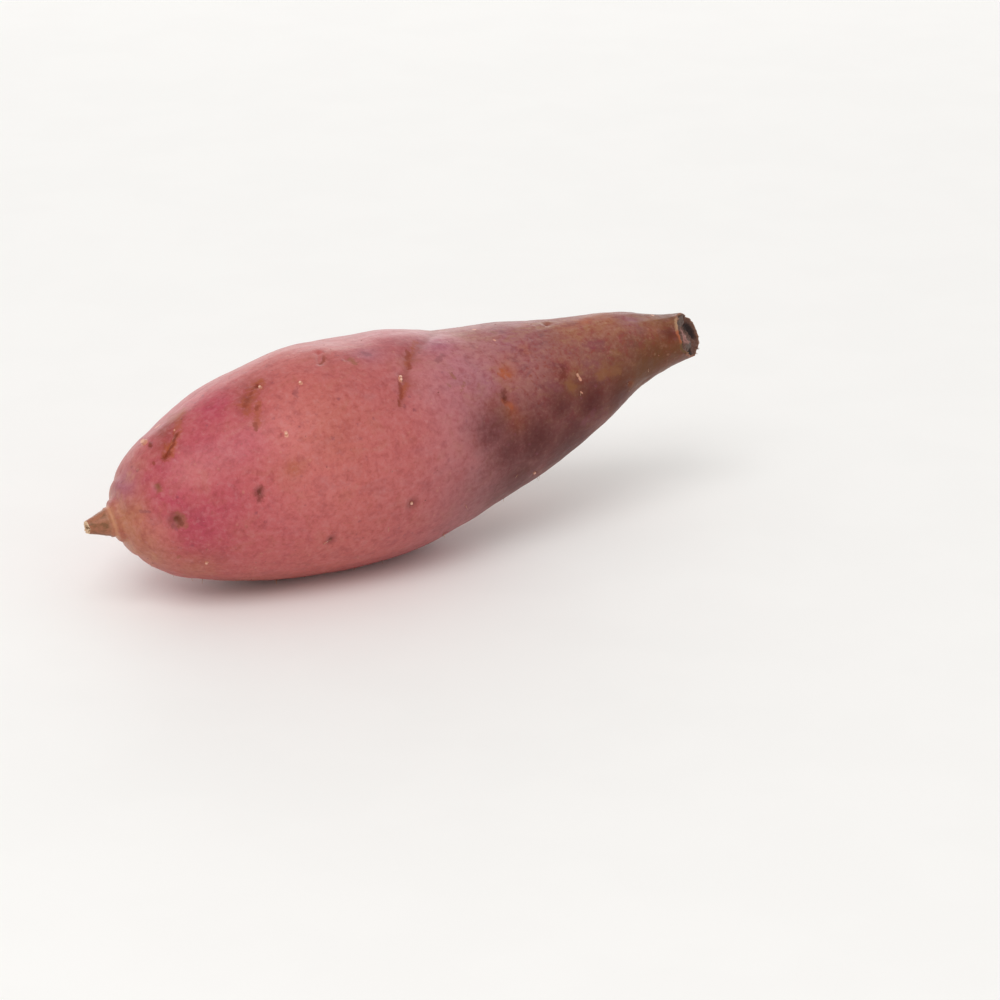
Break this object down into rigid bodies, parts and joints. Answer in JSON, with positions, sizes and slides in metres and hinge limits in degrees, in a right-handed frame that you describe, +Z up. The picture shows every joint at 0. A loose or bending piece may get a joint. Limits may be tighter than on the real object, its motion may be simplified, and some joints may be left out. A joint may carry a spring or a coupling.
{
  "type": "sweet potato",
  "caption": "Whole raw sweet potato with rose-red skin, a thin broken tail and a snapped-off neck, lying on its belly.",
  "frame": {"origin": "under the middle of the root's box, at the height of the surface it lies on", "axes": "+X from the thin tail towards the snapped neck, -Y the side seen in the picture, +Z up"},
  "size_m": [0.1912, 0.065, 0.0619],
  "materials": {
    "skin": "thin matte root skin, rose-red with tan and olive-brown patches, dark eyes and pale rootlet scars"
  },
  "bodies": {
    "root": {"sweet_potato": "skin"}
  },
  "joints": []
}
